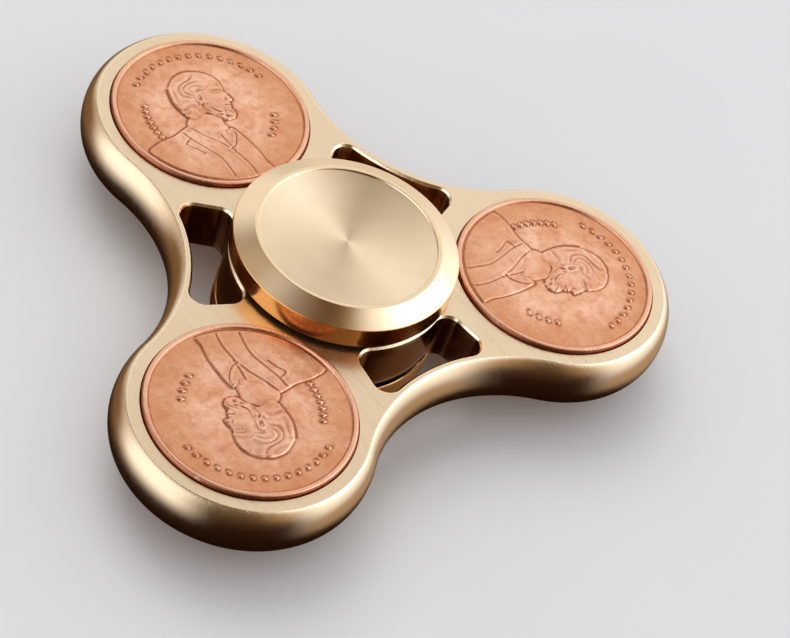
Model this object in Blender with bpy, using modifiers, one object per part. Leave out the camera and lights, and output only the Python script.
"""A three-lobed fidget spinner with a coin let into each face of each lobe.

A ball bearing sits in the hub. Two finger caps clamp its inner ring between their
shoulders, and a set screw through the bearing joins them. The spin axis is Z, the middle
of the frame's thickness is z = 0, and the first lobe points along +Y.

Sizes are in millimetres here and become metres where a mesh is made.
"""

import math

import bmesh
import bpy
from mathutils import Matrix, Vector

MM = 0.001

# Lobed frame
LOBE_ANGLES = [90, 210, 330]
LOBE_REACH = 20.63
LOBE_FACE_RADIUS = 10.7
NECK_FACE_REACH = 14.3
FRAME_THICKNESS = 5.4
SIDE_BULGE = 1.15
LOBE_STEPS = 24
NECK_STEPS = 8

# Slots between the hub and the necks
HUB_RADIUS = 10.4
SLOT_OUTER_REACH = 13.75
SLOT_END_SLANT = math.radians(8)
SLOT_END_OFFSET = 4.1
SLOT_CORNER = 1.3

# Coins, the pads that hold them and their pockets
COIN_RADIUS = 9.525
COIN_THICKNESS = 1.52
COIN_PROUD = 0.4
COIN_RIM_WIDTH = 0.5
COIN_FIELD_DEPTH = 0.12
COIN_EDGE_BREAK = 0.12
PAD_RADIUS = 9.1
PAD_THICKNESS = 0.15
POCKET_RADIUS = 9.6
POCKET_CHAMFER = 0.1
FACE_GAP = 0.02

# Ball bearing, quarter-inch bore and half-inch outside
BEARING_BORE_RADIUS = 3.175
BEARING_OUTER_RADIUS = 6.35
BEARING_WIDTH = 4.762
BEARING_CHAMFER = 0.2
BALL_COUNT = 10
BALL_RADIUS = 0.79375
PITCH_RADIUS = (BEARING_BORE_RADIUS + BEARING_OUTER_RADIUS) / 2
GROOVE_RADIUS = 0.85
GROOVE_HALF_WIDTH = 0.68
GROOVE_STEPS = 4
SHIELD_SEAT_RADIUS = 5.75
SHIELD_SEAT_HEIGHT = 1.75
SHIELD_INNER_RADIUS = 4.42
SHIELD_THICKNESS = 0.16
SNAP_GROOVE_RADIUS = 5.98
SNAP_GROOVE_LOW = 1.97
SNAP_GROOVE_HIGH = 2.22
SNAP_INNER_RADIUS = 5.42
SNAP_GAP_ANGLE = math.radians(34)
CAGE_INNER_RADIUS = 4.5
CAGE_OUTER_RADIUS = 5.02
CAGE_LOW = -0.75
CAGE_HIGH = 1.3
CAGE_POCKET_RADIUS = 0.88
BORE_CLEARANCE = 0.03

# Finger caps and the screw that joins them
CAP_RADIUS = 10.51
CAP_UNDERSIDE = 3.2
CAP_SIDE_TOP = 5.32
CAP_RIM_RADIUS = 8.65
CAP_RIM_WIDTH = 0.25
CAP_TOP = 6.29
CAP_DISH_DEPTH = 0.8
CAP_DISH_STEPS = 4
CAP_EDGE_BREAK = 0.1
SHOULDER_RADIUS = 3.9
BOSS_RADIUS = 3.14
BOSS_END_GAP = 0.05
BOSS_CHAMFER = 0.2
THREAD_HOLE_RADIUS = 2.05
THREAD_HOLE_DEPTH = 4.3
SCREW_RADIUS = 1.98
SCREW_HALF_LENGTH = 4.1
SCREW_CHAMFER = 0.35
SOCKET_ACROSS_CORNERS = 2.31
SOCKET_DEPTH = 1.8

FRAME_FACE = FRAME_THICKNESS / 2
BEARING_FACE = BEARING_WIDTH / 2
COIN_TOP = FRAME_FACE + COIN_PROUD
PAD_TOP = COIN_TOP - COIN_THICKNESS - FACE_GAP
POCKET_FLOOR = PAD_TOP - PAD_THICKNESS - FACE_GAP
OUTER_LAND_RADIUS = PITCH_RADIUS + math.sqrt(GROOVE_RADIUS**2 - GROOVE_HALF_WIDTH**2)
INNER_LAND_RADIUS = PITCH_RADIUS - math.sqrt(GROOVE_RADIUS**2 - GROOVE_HALF_WIDTH**2)

# Facets round a full turn
CAP_SEGMENTS = 48
COIN_SEGMENTS = 36
RING_SEGMENTS = 40
PAD_SEGMENTS = 24
SCREW_SEGMENTS = 16


def clear_scene():
    for obj in list(bpy.data.objects):
        bpy.data.objects.remove(obj)


def new_collection(name):
    collection = bpy.data.collections.new(name)
    bpy.context.scene.collection.children.link(collection)
    return collection


def material(name, colour, roughness, metallic):
    made = bpy.data.materials.new(name)
    made.use_nodes = True
    made.diffuse_color = (*colour, 1)
    shader = made.node_tree.nodes["Principled BSDF"]
    shader.inputs["Base Color"].default_value = (*colour, 1)
    shader.inputs["Roughness"].default_value = roughness
    shader.inputs["Metallic"].default_value = metallic
    return made


def add_part(name, mesh, finish, parent=None):
    """A node of the object, in its collection, with its material."""
    obj = bpy.data.objects.new(name, mesh)
    if not mesh.materials:
        mesh.materials.append(finish)
    PARTS.objects.link(obj)
    obj.parent = parent
    return obj


def add_axis(name, parent=None, location=(0, 0, 0)):
    """An empty on a joint's axis, which the pieces of one moving body hang from."""
    axis = bpy.data.objects.new(name, None)
    PARTS.objects.link(axis)
    axis.parent = parent
    axis.location = location
    return axis


def add_cutter(name, mesh):
    obj = bpy.data.objects.new(name, mesh)
    CUTTERS.objects.link(obj)
    obj.hide_render = True
    obj.display_type = "WIRE"
    return obj


def cut(obj, cutter):
    modifier = obj.modifiers.new("Cut " + cutter.name, "BOOLEAN")
    modifier.operation = "DIFFERENCE"
    modifier.solver = "EXACT"
    modifier.object = cutter


def profile_mesh(name, profile):
    """Profile points (radius, height) as a line. A profile that misses the axis is closed."""
    mesh = bpy.data.meshes.new(name)
    points = [(radius * MM, 0, height * MM) for radius, height in profile]
    edges = [(i, i + 1) for i in range(len(points) - 1)]
    if profile[0][0] > 0:
        edges.append((len(points) - 1, 0))
    mesh.from_pydata(points, edges, [])
    return mesh


def turn(obj, segments):
    """Turns a profile once about Z into a solid."""
    screw = obj.modifiers.new("Turn", "SCREW")
    screw.steps = segments
    screw.render_steps = segments
    screw.use_merge_vertices = True
    screw.merge_threshold = 0.000001
    screw.use_smooth_shade = True
    return obj


def arc(centre, radius, start, end, steps):
    """Points (x, y) round an arc from one angle to another, both ends included."""
    turns = [start + (end - start) * i / steps for i in range(steps + 1)]
    return [(centre[0] + radius * math.cos(a), centre[1] + radius * math.sin(a)) for a in turns]


def turned_about(points, angle):
    """Points (x, y) turned about the spin axis."""
    c, s = math.cos(angle), math.sin(angle)
    return [(c * x - s * y, s * x + c * y) for x, y in points]


def flat_outline(name, points, half_thickness, edge_depth=0.0, edge_steps=0):
    """The mesh of a flat outline with thickness and, where asked, a half-round edge outside it."""
    curve = bpy.data.curves.new(name, "CURVE")
    curve.dimensions = "2D"
    curve.fill_mode = "BOTH"
    curve.extrude = half_thickness * MM
    curve.bevel_depth = edge_depth * MM
    curve.bevel_resolution = edge_steps
    spline = curve.splines.new("POLY")
    spline.points.add(len(points) - 1)
    for point, (x, y) in zip(spline.points, points):
        point.co = (x * MM, y * MM, 0, 1)
    spline.use_cyclic_u = True
    holder = bpy.data.objects.new(name, curve)
    bpy.context.scene.collection.objects.link(holder)
    bpy.context.view_layer.update()
    mesh = bpy.data.meshes.new_from_object(holder.evaluated_get(bpy.context.evaluated_depsgraph_get()))
    bpy.data.objects.remove(holder)
    bpy.data.curves.remove(curve)
    mesh.name = name
    bm = bmesh.new()
    bm.from_mesh(mesh)
    bmesh.ops.remove_doubles(bm, verts=bm.verts, dist=0.000001)
    bmesh.ops.recalc_face_normals(bm, faces=bm.faces)
    bm.to_mesh(mesh)
    bm.free()
    return mesh


def neck_arc():
    """Distance of the neck arc's centre from the spin axis, and its radius. It touches both lobes."""
    along = LOBE_REACH * math.cos(math.radians(60))
    across = LOBE_REACH * math.sin(math.radians(60))
    inside = NECK_FACE_REACH - along
    radius = (inside**2 + across**2 - LOBE_FACE_RADIUS**2) / (2 * (LOBE_FACE_RADIUS - inside))
    return NECK_FACE_REACH + radius, radius


def frame_outline():
    """The flat face's edge: round lobes joined by hollow necks."""
    reach, radius = neck_arc()
    neck_centre = Vector((reach * math.cos(math.radians(60)), reach * math.sin(math.radians(60))))
    to_neck = neck_centre - Vector((LOBE_REACH, 0))
    half_lobe = math.atan2(to_neck.y, to_neck.x)
    half_neck = half_lobe - math.radians(60)
    third = arc((LOBE_REACH, 0), LOBE_FACE_RADIUS, -half_lobe, half_lobe, LOBE_STEPS)
    neck_middle = math.radians(60 + 180)
    third += arc(neck_centre, radius, neck_middle + half_neck, neck_middle - half_neck, NECK_STEPS)[1:-1]
    outline = []
    for angle in LOBE_ANGLES:
        outline += turned_about(third, math.radians(angle))
    return outline


def slot_outline():
    """Half of one slot, mirrored, about a neck that points along +X.

    The hub circle bounds it inside, an arc concentric with the neck outside, and a
    slanted straight end joins them through two round corners.
    """
    along = Vector((math.cos(SLOT_END_SLANT), math.sin(SLOT_END_SLANT)))
    outward = Vector((-along.y, along.x))
    neck_reach, _ = neck_arc()
    outer_radius = neck_reach - SLOT_OUTER_REACH
    foot = outward * (SLOT_END_OFFSET - SLOT_CORNER)
    inner_run = math.sqrt((HUB_RADIUS + SLOT_CORNER) ** 2 - foot.length_squared)
    inner_corner = foot + along * inner_run
    from_neck = foot - Vector((neck_reach, 0))
    middle = -from_neck.dot(along)
    room = from_neck.length_squared - (outer_radius + SLOT_CORNER) ** 2
    outer_corner = foot + along * (middle - math.sqrt(middle**2 - room))
    inner_turn = math.atan2(inner_corner.y, inner_corner.x)
    end_turn = math.atan2(outward.y, outward.x)
    to_neck = Vector((neck_reach, 0)) - outer_corner
    outer_turn = math.atan2(to_neck.y, to_neck.x)
    outer_start = math.atan2(-to_neck.y, -to_neck.x)
    half = arc((0, 0), HUB_RADIUS, 0, inner_turn, 4)
    half += arc(inner_corner, SLOT_CORNER, inner_turn + math.pi, end_turn, 4)[1:]
    half += arc(outer_corner, SLOT_CORNER, end_turn, outer_turn, 4)
    half += arc((neck_reach, 0), outer_radius, outer_start, math.pi, 4)[1:]
    return half + [(x, -y) for x, y in reversed(half[1:-1])]


def pocket_cutter(name):
    """One coin pocket in the upper face, with a chamfered mouth."""
    over = 0.5
    profile = [
        (0, FRAME_FACE + over),
        (POCKET_RADIUS + POCKET_CHAMFER + over, FRAME_FACE + over),
        (POCKET_RADIUS, FRAME_FACE - POCKET_CHAMFER),
        (POCKET_RADIUS, POCKET_FLOOR),
        (0, POCKET_FLOOR),
    ]
    return turn(add_cutter(name, profile_mesh(name, profile)), COIN_SEGMENTS)


def bore_cutter():
    """The bearing's seat, right through the hub, chamfered at both mouths."""
    over = 0.5
    chamfer = 0.3
    radius = BEARING_OUTER_RADIUS + BORE_CLEARANCE
    profile = [
        (0, FRAME_FACE + over),
        (radius + chamfer + over, FRAME_FACE + over),
        (radius, FRAME_FACE - chamfer),
        (radius, chamfer - FRAME_FACE),
        (radius + chamfer + over, -FRAME_FACE - over),
        (0, -FRAME_FACE - over),
    ]
    return turn(add_cutter("bearing_seat", profile_mesh("bearing_seat", profile)), RING_SEGMENTS)


def add_frame(parent, finish):
    """The body that spins: lobes with rounded sides, pockets on both faces, slots and bearing seat."""
    mesh = flat_outline("frame", frame_outline(), 0, SIDE_BULGE, 2)
    mesh.transform(Matrix.Diagonal((1, 1, FRAME_FACE / SIDE_BULGE, 1)))
    frame = add_part("frame", mesh, finish, parent)
    cut(frame, bore_cutter())
    for number, angle in enumerate(LOBE_ANGLES, 1):
        turn_to = math.radians(angle)
        for side, flip in (("top", 0), ("bottom", math.pi)):
            cutter = pocket_cutter(f"pocket_{side}_{number}")
            cutter.location = (LOBE_REACH * math.cos(turn_to) * MM, LOBE_REACH * math.sin(turn_to) * MM, 0)
            cutter.rotation_euler.x = flip
            cut(frame, cutter)
        slot = add_cutter(f"slot_{number}", flat_outline("slot", slot_outline(), FRAME_THICKNESS))
        slot.rotation_euler.z = turn_to + math.radians(60)
        cut(frame, slot)


def add_coins_and_pads(parent, copper, foam):
    """A coin on a thin adhesive pad in each pocket. The lower ones are the upper ones turned over."""
    rim = COIN_RADIUS - COIN_RIM_WIDTH
    coin_profile = [
        (0, COIN_TOP - COIN_FIELD_DEPTH),
        (rim - COIN_FIELD_DEPTH, COIN_TOP - COIN_FIELD_DEPTH),
        (rim, COIN_TOP),
        (COIN_RADIUS - COIN_EDGE_BREAK, COIN_TOP),
        (COIN_RADIUS, COIN_TOP - COIN_EDGE_BREAK),
        (COIN_RADIUS, COIN_TOP - COIN_THICKNESS),
        (0, COIN_TOP - COIN_THICKNESS),
    ]
    pad_profile = [
        (0, PAD_TOP),
        (PAD_RADIUS, PAD_TOP),
        (PAD_RADIUS, PAD_TOP - PAD_THICKNESS),
        (0, PAD_TOP - PAD_THICKNESS),
    ]
    coin_mesh = profile_mesh("coin", coin_profile)
    pad_mesh = profile_mesh("coin_pad", pad_profile)
    for number, angle in enumerate(LOBE_ANGLES, 1):
        at = math.radians(angle)
        place = (LOBE_REACH * math.cos(at) * MM, LOBE_REACH * math.sin(at) * MM, 0)
        for side, flip in (("top", 0), ("bottom", math.pi)):
            coin = turn(add_part(f"coin_{side}_{number}", coin_mesh, copper, parent), COIN_SEGMENTS)
            pad = turn(add_part(f"coin_pad_{side}_{number}", pad_mesh, foam, parent), PAD_SEGMENTS)
            for piece in (coin, pad):
                piece.location = place
                piece.rotation_euler.x = flip


def groove(side):
    """The ball groove's points from top to bottom. side is 1 in the outer ring and -1 in the inner."""
    half = math.asin(GROOVE_HALF_WIDTH / GROOVE_RADIUS)
    turns = [half - 2 * half * i / GROOVE_STEPS for i in range(GROOVE_STEPS + 1)]
    return [(PITCH_RADIUS + side * GROOVE_RADIUS * math.cos(a), GROOVE_RADIUS * math.sin(a)) for a in turns]


def add_outer_ring(parent, steel):
    """Its inside has the ball groove and, at each end, a shield's seat and a snap ring's groove."""
    end = [
        (SHIELD_SEAT_RADIUS, BEARING_FACE),
        (SHIELD_SEAT_RADIUS, SNAP_GROOVE_HIGH),
        (SNAP_GROOVE_RADIUS, SNAP_GROOVE_HIGH),
        (SNAP_GROOVE_RADIUS, SNAP_GROOVE_LOW),
        (SHIELD_SEAT_RADIUS, SNAP_GROOVE_LOW),
        (SHIELD_SEAT_RADIUS, SHIELD_SEAT_HEIGHT),
        (OUTER_LAND_RADIUS, SHIELD_SEAT_HEIGHT),
    ]
    outside = [
        (BEARING_OUTER_RADIUS - BEARING_CHAMFER, BEARING_FACE),
        (BEARING_OUTER_RADIUS, BEARING_FACE - BEARING_CHAMFER),
        (BEARING_OUTER_RADIUS, BEARING_CHAMFER - BEARING_FACE),
        (BEARING_OUTER_RADIUS - BEARING_CHAMFER, -BEARING_FACE),
    ]
    inside_up = [(radius, -height) for radius, height in end]
    inside_up += reversed(groove(1))
    inside_up += reversed(end)
    mesh = profile_mesh("bearing_outer_ring", outside + inside_up)
    turn(add_part("bearing_outer_ring", mesh, steel, parent), RING_SEGMENTS)


def add_inner_ring(parent, steel):
    """The ring that the caps clamp, with its ball groove on the outside."""
    outside = [(INNER_LAND_RADIUS - 0.1, BEARING_FACE), (INNER_LAND_RADIUS, BEARING_FACE - 0.1)]
    outside += groove(-1)
    outside += [(INNER_LAND_RADIUS, 0.1 - BEARING_FACE), (INNER_LAND_RADIUS - 0.1, -BEARING_FACE)]
    bore = [
        (BEARING_BORE_RADIUS + BEARING_CHAMFER, -BEARING_FACE),
        (BEARING_BORE_RADIUS, BEARING_CHAMFER - BEARING_FACE),
        (BEARING_BORE_RADIUS, BEARING_FACE - BEARING_CHAMFER),
        (BEARING_BORE_RADIUS + BEARING_CHAMFER, BEARING_FACE),
    ]
    mesh = profile_mesh("bearing_inner_ring", outside + bore)
    turn(add_part("bearing_inner_ring", mesh, steel, parent), RING_SEGMENTS)


def sphere_mesh(name, radius, segments, rings):
    mesh = bpy.data.meshes.new(name)
    bm = bmesh.new()
    bmesh.ops.create_uvsphere(bm, u_segments=segments, v_segments=rings, radius=radius * MM)
    for face in bm.faces:
        face.smooth = True
    bm.to_mesh(mesh)
    bm.free()
    return mesh


def add_cage_and_balls(parent, brass, steel):
    """A crown cage, open below, and the balls in its pockets. Each ball turns on its own axis."""
    profile = [
        (CAGE_OUTER_RADIUS, CAGE_HIGH),
        (CAGE_OUTER_RADIUS, CAGE_LOW),
        (CAGE_INNER_RADIUS, CAGE_LOW),
        (CAGE_INNER_RADIUS, CAGE_HIGH),
    ]
    mesh = profile_mesh("bearing_cage", profile)
    cage = turn(add_part("bearing_cage", mesh, brass, parent), RING_SEGMENTS)
    ball_mesh = sphere_mesh("bearing_ball", BALL_RADIUS, 12, 8)
    pocket_mesh = sphere_mesh("cage_pocket", CAGE_POCKET_RADIUS, 12, 8)
    for number in range(1, BALL_COUNT + 1):
        at = math.tau * (number - 1) / BALL_COUNT
        place = (PITCH_RADIUS * math.cos(at) * MM, PITCH_RADIUS * math.sin(at) * MM, 0)
        pocket = add_cutter(f"cage_pocket_{number:02d}", pocket_mesh)
        ball = add_part(f"bearing_ball_{number:02d}", ball_mesh, steel, parent)
        for piece in (pocket, ball):
            piece.location = place
            piece.rotation_euler.z = at
        cut(cage, pocket)


def add_shields_and_snap_rings(parent, steel):
    """A shield closes each end of the bearing, and a split ring holds it in."""
    low = SHIELD_SEAT_HEIGHT + FACE_GAP
    shield_profile = [
        (SHIELD_SEAT_RADIUS - 0.05, low + SHIELD_THICKNESS),
        (SHIELD_SEAT_RADIUS - 0.05, low),
        (SHIELD_INNER_RADIUS, low),
        (SHIELD_INNER_RADIUS, low + SHIELD_THICKNESS),
    ]
    shield_mesh = profile_mesh("bearing_shield", shield_profile)
    half_gap = SNAP_GAP_ANGLE / 2
    steps = RING_SEGMENTS - 4
    split = arc((0, 0), SNAP_GROOVE_RADIUS - 0.05, half_gap, math.tau - half_gap, steps)
    split += reversed(arc((0, 0), SNAP_INNER_RADIUS, half_gap, math.tau - half_gap, steps))
    half_thickness = (SNAP_GROOVE_HIGH - SNAP_GROOVE_LOW) / 2 - FACE_GAP
    snap_mesh = flat_outline("bearing_snap_ring", split, half_thickness)
    for side, flip in (("top", 0), ("bottom", math.pi)):
        shield = turn(add_part(f"bearing_shield_{side}", shield_mesh, steel, parent), RING_SEGMENTS)
        shield.rotation_euler.x = flip
        snap = add_part(f"bearing_snap_ring_{side}", snap_mesh, steel, parent)
        snap.rotation_euler.x = flip
        height = (SNAP_GROOVE_HIGH + SNAP_GROOVE_LOW) / 2
        snap.location.z = height * MM if side == "top" else -height * MM


def add_caps(parent, gold):
    """The two finger caps. Each has a dished top, a wide chamfer, a shoulder and a threaded boss."""
    dish_edge = CAP_RIM_RADIUS - CAP_RIM_WIDTH
    dish_radius = (dish_edge**2 + CAP_DISH_DEPTH**2) / (2 * CAP_DISH_DEPTH)
    profile = []
    for step in range(CAP_DISH_STEPS + 1):
        radius = dish_edge * step / CAP_DISH_STEPS
        sink = math.sqrt(dish_radius**2 - radius**2) - (dish_radius - CAP_DISH_DEPTH)
        profile.append((radius, CAP_TOP - sink))
    profile += [
        (CAP_RIM_RADIUS, CAP_TOP),
        (CAP_RADIUS, CAP_SIDE_TOP),
        (CAP_RADIUS, CAP_UNDERSIDE + CAP_EDGE_BREAK),
        (CAP_RADIUS - CAP_EDGE_BREAK, CAP_UNDERSIDE),
        (SHOULDER_RADIUS, CAP_UNDERSIDE),
        (SHOULDER_RADIUS, BEARING_FACE + FACE_GAP),
        (BOSS_RADIUS, BEARING_FACE + FACE_GAP),
        (BOSS_RADIUS, BOSS_END_GAP + BOSS_CHAMFER),
        (BOSS_RADIUS - BOSS_CHAMFER, BOSS_END_GAP),
        (THREAD_HOLE_RADIUS, BOSS_END_GAP),
        (THREAD_HOLE_RADIUS, THREAD_HOLE_DEPTH),
        (0, THREAD_HOLE_DEPTH),
    ]
    mesh = profile_mesh("finger_cap", profile)
    for side, flip in (("top", 0), ("bottom", math.pi)):
        cap = turn(add_part(f"finger_cap_{side}", mesh, gold, parent), CAP_SEGMENTS)
        cap.rotation_euler.x = flip


def add_screw(parent, steel):
    """The set screw that joins the caps' bosses inside the bearing, with a hex socket at its top."""
    profile = [
        (0, SCREW_HALF_LENGTH),
        (SCREW_RADIUS - SCREW_CHAMFER, SCREW_HALF_LENGTH),
        (SCREW_RADIUS, SCREW_HALF_LENGTH - SCREW_CHAMFER),
        (SCREW_RADIUS, SCREW_CHAMFER - SCREW_HALF_LENGTH),
        (SCREW_RADIUS - SCREW_CHAMFER, -SCREW_HALF_LENGTH),
        (0, -SCREW_HALF_LENGTH),
    ]
    screw = turn(add_part("axle_screw", profile_mesh("axle_screw", profile), steel, parent), SCREW_SEGMENTS)
    socket_mesh = bpy.data.meshes.new("screw_socket")
    bm = bmesh.new()
    radius = SOCKET_ACROSS_CORNERS / 2 * MM
    bmesh.ops.create_cone(
        bm, cap_ends=True, segments=6, radius1=radius, radius2=radius, depth=2 * SOCKET_DEPTH * MM
    )
    bm.to_mesh(socket_mesh)
    bm.free()
    socket = add_cutter("screw_socket", socket_mesh)
    socket.location.z = SCREW_HALF_LENGTH * MM
    cut(screw, socket)


clear_scene()
PARTS = new_collection("fidget_spinner")
CUTTERS = new_collection("cutters")
CUTTERS.hide_render = True

champagne = material("champagne_anodised", (0.72, 0.56, 0.36), 0.3, 1.0)
cap_gold = material("champagne_polished", (0.74, 0.57, 0.35), 0.18, 1.0)
copper = material("coin_copper", (0.75, 0.31, 0.18), 0.38, 1.0)
foam = material("adhesive_pad", (0.78, 0.76, 0.7), 0.85, 0.0)
bearing_steel = material("bearing_steel", (0.6, 0.6, 0.62), 0.15, 1.0)
shield_steel = material("shield_steel", (0.5, 0.5, 0.52), 0.3, 1.0)
cage_brass = material("cage_brass", (0.62, 0.44, 0.17), 0.3, 1.0)
screw_steel = material("screw_steel", (0.09, 0.09, 0.1), 0.4, 1.0)

hub_axis = add_axis("hub_axis")
rotor_axis = add_axis("rotor_axis", hub_axis)
cage_axis = add_axis("cage_axis", hub_axis)

add_caps(hub_axis, cap_gold)
add_screw(hub_axis, screw_steel)
add_inner_ring(hub_axis, bearing_steel)
add_frame(rotor_axis, champagne)
add_coins_and_pads(rotor_axis, copper, foam)
add_outer_ring(rotor_axis, bearing_steel)
add_shields_and_snap_rings(rotor_axis, shield_steel)
add_cage_and_balls(cage_axis, cage_brass, bearing_steel)
